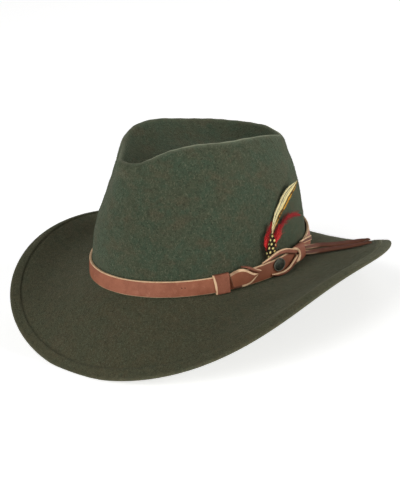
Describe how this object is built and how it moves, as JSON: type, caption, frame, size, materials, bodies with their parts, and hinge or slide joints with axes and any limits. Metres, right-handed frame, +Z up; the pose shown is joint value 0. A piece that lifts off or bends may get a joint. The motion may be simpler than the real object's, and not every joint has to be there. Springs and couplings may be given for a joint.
{
  "type": "wide-brimmed felt hat",
  "caption": "Pinch-front wool felt hat with a curled brim, a braided leather band and a small bunch of feathers; hollow for the wearer's head.",
  "frame": {"origin": "middle of the hat's box, on the surface the brim rests on", "axes": "+Z up, front of the hat towards -Y, wearer's left (the feather side) towards +X"},
  "size_m": [0.3194, 0.3148, 0.1602],
  "materials": {
    "felt": "matte fuzzy wool felt",
    "strap_leather": "smooth, satin",
    "keeper_leather": "smooth, satin",
    "tail_leather": "smooth, satin",
    "pin_metal": "dark antique",
    "cream_feather": "soft vane",
    "red_feather": "soft vane",
    "dotted_feather": "soft vane with pale dots"
  },
  "bodies": {
    "root": {"felt_body": "felt", "band_strap": "strap_leather", "slide_keeper": "keeper_leather", "braid_leaf": "strap_leather", "braid_cross": "keeper_leather", "eye_loop_upper": "keeper_leather", "eye_loop_lower": "keeper_leather", "knot_keeper": "keeper_leather", "strap_end": "tail_leather", "tail_upper": "tail_leather", "tail_lower": "tail_leather", "band_pin": "pin_metal", "feather_long": "cream_feather", "feather_plume": "red_feather", "feather_hackle": "red_feather", "feather_guinea": "dotted_feather"}
  },
  "joints": []
}
